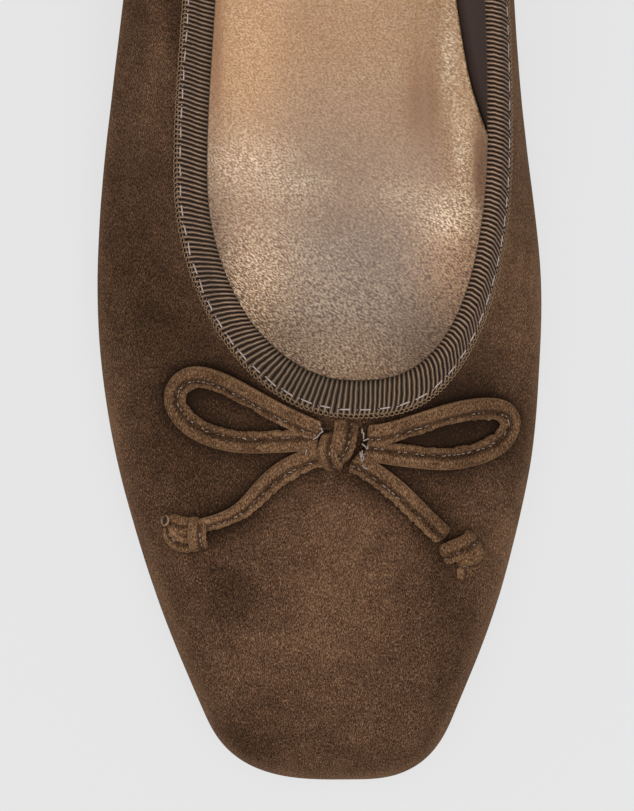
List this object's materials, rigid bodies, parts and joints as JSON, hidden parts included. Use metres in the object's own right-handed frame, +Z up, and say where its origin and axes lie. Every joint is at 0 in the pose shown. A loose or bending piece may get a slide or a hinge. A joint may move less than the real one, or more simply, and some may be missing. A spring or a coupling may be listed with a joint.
{
  "type": "heeled ballet flat",
  "caption": "Right slip-on ballet shoe with a low block heel, squared round toe, ribbon-bound topline and a small cord bow on the vamp.",
  "frame": {"origin": "on the floor under the middle of the heel, on the underside of the heel's top piece", "axes": "+Y along the shoe towards the back of the heel, +X to the medial side, +Z up; the toe points to -Y"},
  "size_m": [0.0824, 0.25, 0.0876],
  "materials": {
    "upper_suede": "napped suede, matte",
    "heel_suede": "napped suede over the block, matte",
    "bow_suede": "napped suede cord, matte",
    "grosgrain": "ribbed ribbon",
    "insole_leather": "smooth, satin",
    "outsole_rubber": "matte",
    "top_piece_rubber": "matte"
  },
  "bodies": {
    "root": {"upper": "upper_suede", "topline_binding": "grosgrain", "insole": "insole_leather", "outsole": "outsole_rubber", "heel_block": "heel_suede", "heel_top_piece": "top_piece_rubber", "bow_knot": "bow_suede", "bow_loop_lateral": "bow_suede", "bow_loop_medial": "bow_suede", "bow_tail_lateral": "bow_suede", "bow_tail_medial": "bow_suede", "tail_knot_lateral": "bow_suede", "tail_knot_medial": "bow_suede"}
  },
  "joints": []
}
